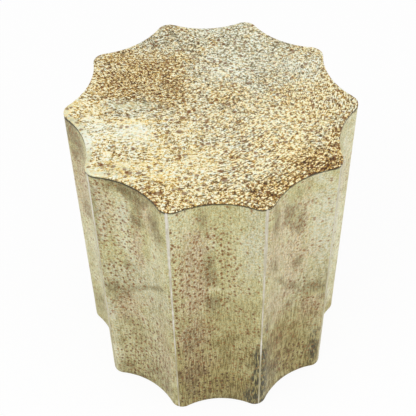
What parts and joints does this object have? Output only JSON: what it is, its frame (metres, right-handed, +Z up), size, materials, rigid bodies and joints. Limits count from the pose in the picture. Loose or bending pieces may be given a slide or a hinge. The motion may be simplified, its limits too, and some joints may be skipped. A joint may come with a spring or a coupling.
{
  "type": "drum side table",
  "caption": "Drum side table with a flat scalloped top and concave flutes between rounded ridges, clad in hammered antiqued metal over a wooden carcass.",
  "frame": {"origin": "on the floor under the centre of the table", "axes": "+Z up along the drum's axis, +X through the middle of one ridge"},
  "size_m": [0.46, 0.4396, 0.52],
  "materials": {
    "hammered_top": "hammered champagne brass with brown antiquing",
    "hammered_side": "greenish champagne patina, brown in the dimples",
    "solder": "pale filed solder",
    "board": "raw fibreboard",
    "black_board": "fibreboard painted matt black underneath",
    "batten_wood": "planed softwood",
    "plywood": "bending plywood",
    "steel": "zinc plated",
    "nylon": "black nylon"
  },
  "bodies": {
    "root": {"top_sheet": "hammered_top", "top_board": "board", "base_board": "black_board", "mid_rib": "board", "glide_nails": "steel", "flute_sheet_01": "hammered_side", "flute_sheet_02": "hammered_side", "flute_sheet_03": "hammered_side", "flute_sheet_04": "hammered_side", "flute_sheet_05": "hammered_side", "flute_sheet_06": "hammered_side", "flute_sheet_07": "hammered_side", "flute_sheet_08": "hammered_side", "flute_sheet_09": "hammered_side", "flute_sheet_10": "hammered_side", "ridge_seam_01": "solder", "ridge_seam_02": "solder", "ridge_seam_03": "solder", "ridge_seam_04": "solder", "ridge_seam_05": "solder", "ridge_seam_06": "solder", "ridge_seam_07": "solder", "ridge_seam_08": "solder", "ridge_seam_09": "solder", "ridge_seam_10": "solder", "ridge_batten_01": "batten_wood", "ridge_batten_02": "batten_wood", "ridge_batten_03": "batten_wood", "ridge_batten_04": "batten_wood", "ridge_batten_05": "batten_wood", "ridge_batten_06": "batten_wood", "ridge_batten_07": "batten_wood", "ridge_batten_08": "batten_wood", "ridge_batten_09": "batten_wood", "ridge_batten_10": "batten_wood", "flute_panel_01": "plywood", "flute_panel_02": "plywood", "flute_panel_03": "plywood", "flute_panel_04": "plywood", "flute_panel_05": "plywood", "flute_panel_06": "plywood", "flute_panel_07": "plywood", "flute_panel_08": "plywood", "flute_panel_09": "plywood", "flute_panel_10": "plywood", "top_screws": "steel", "base_screws": "steel", "rib_screws": "steel", "glide_01": "nylon", "glide_02": "nylon", "glide_03": "nylon", "glide_04": "nylon", "glide_05": "nylon"}
  },
  "joints": []
}
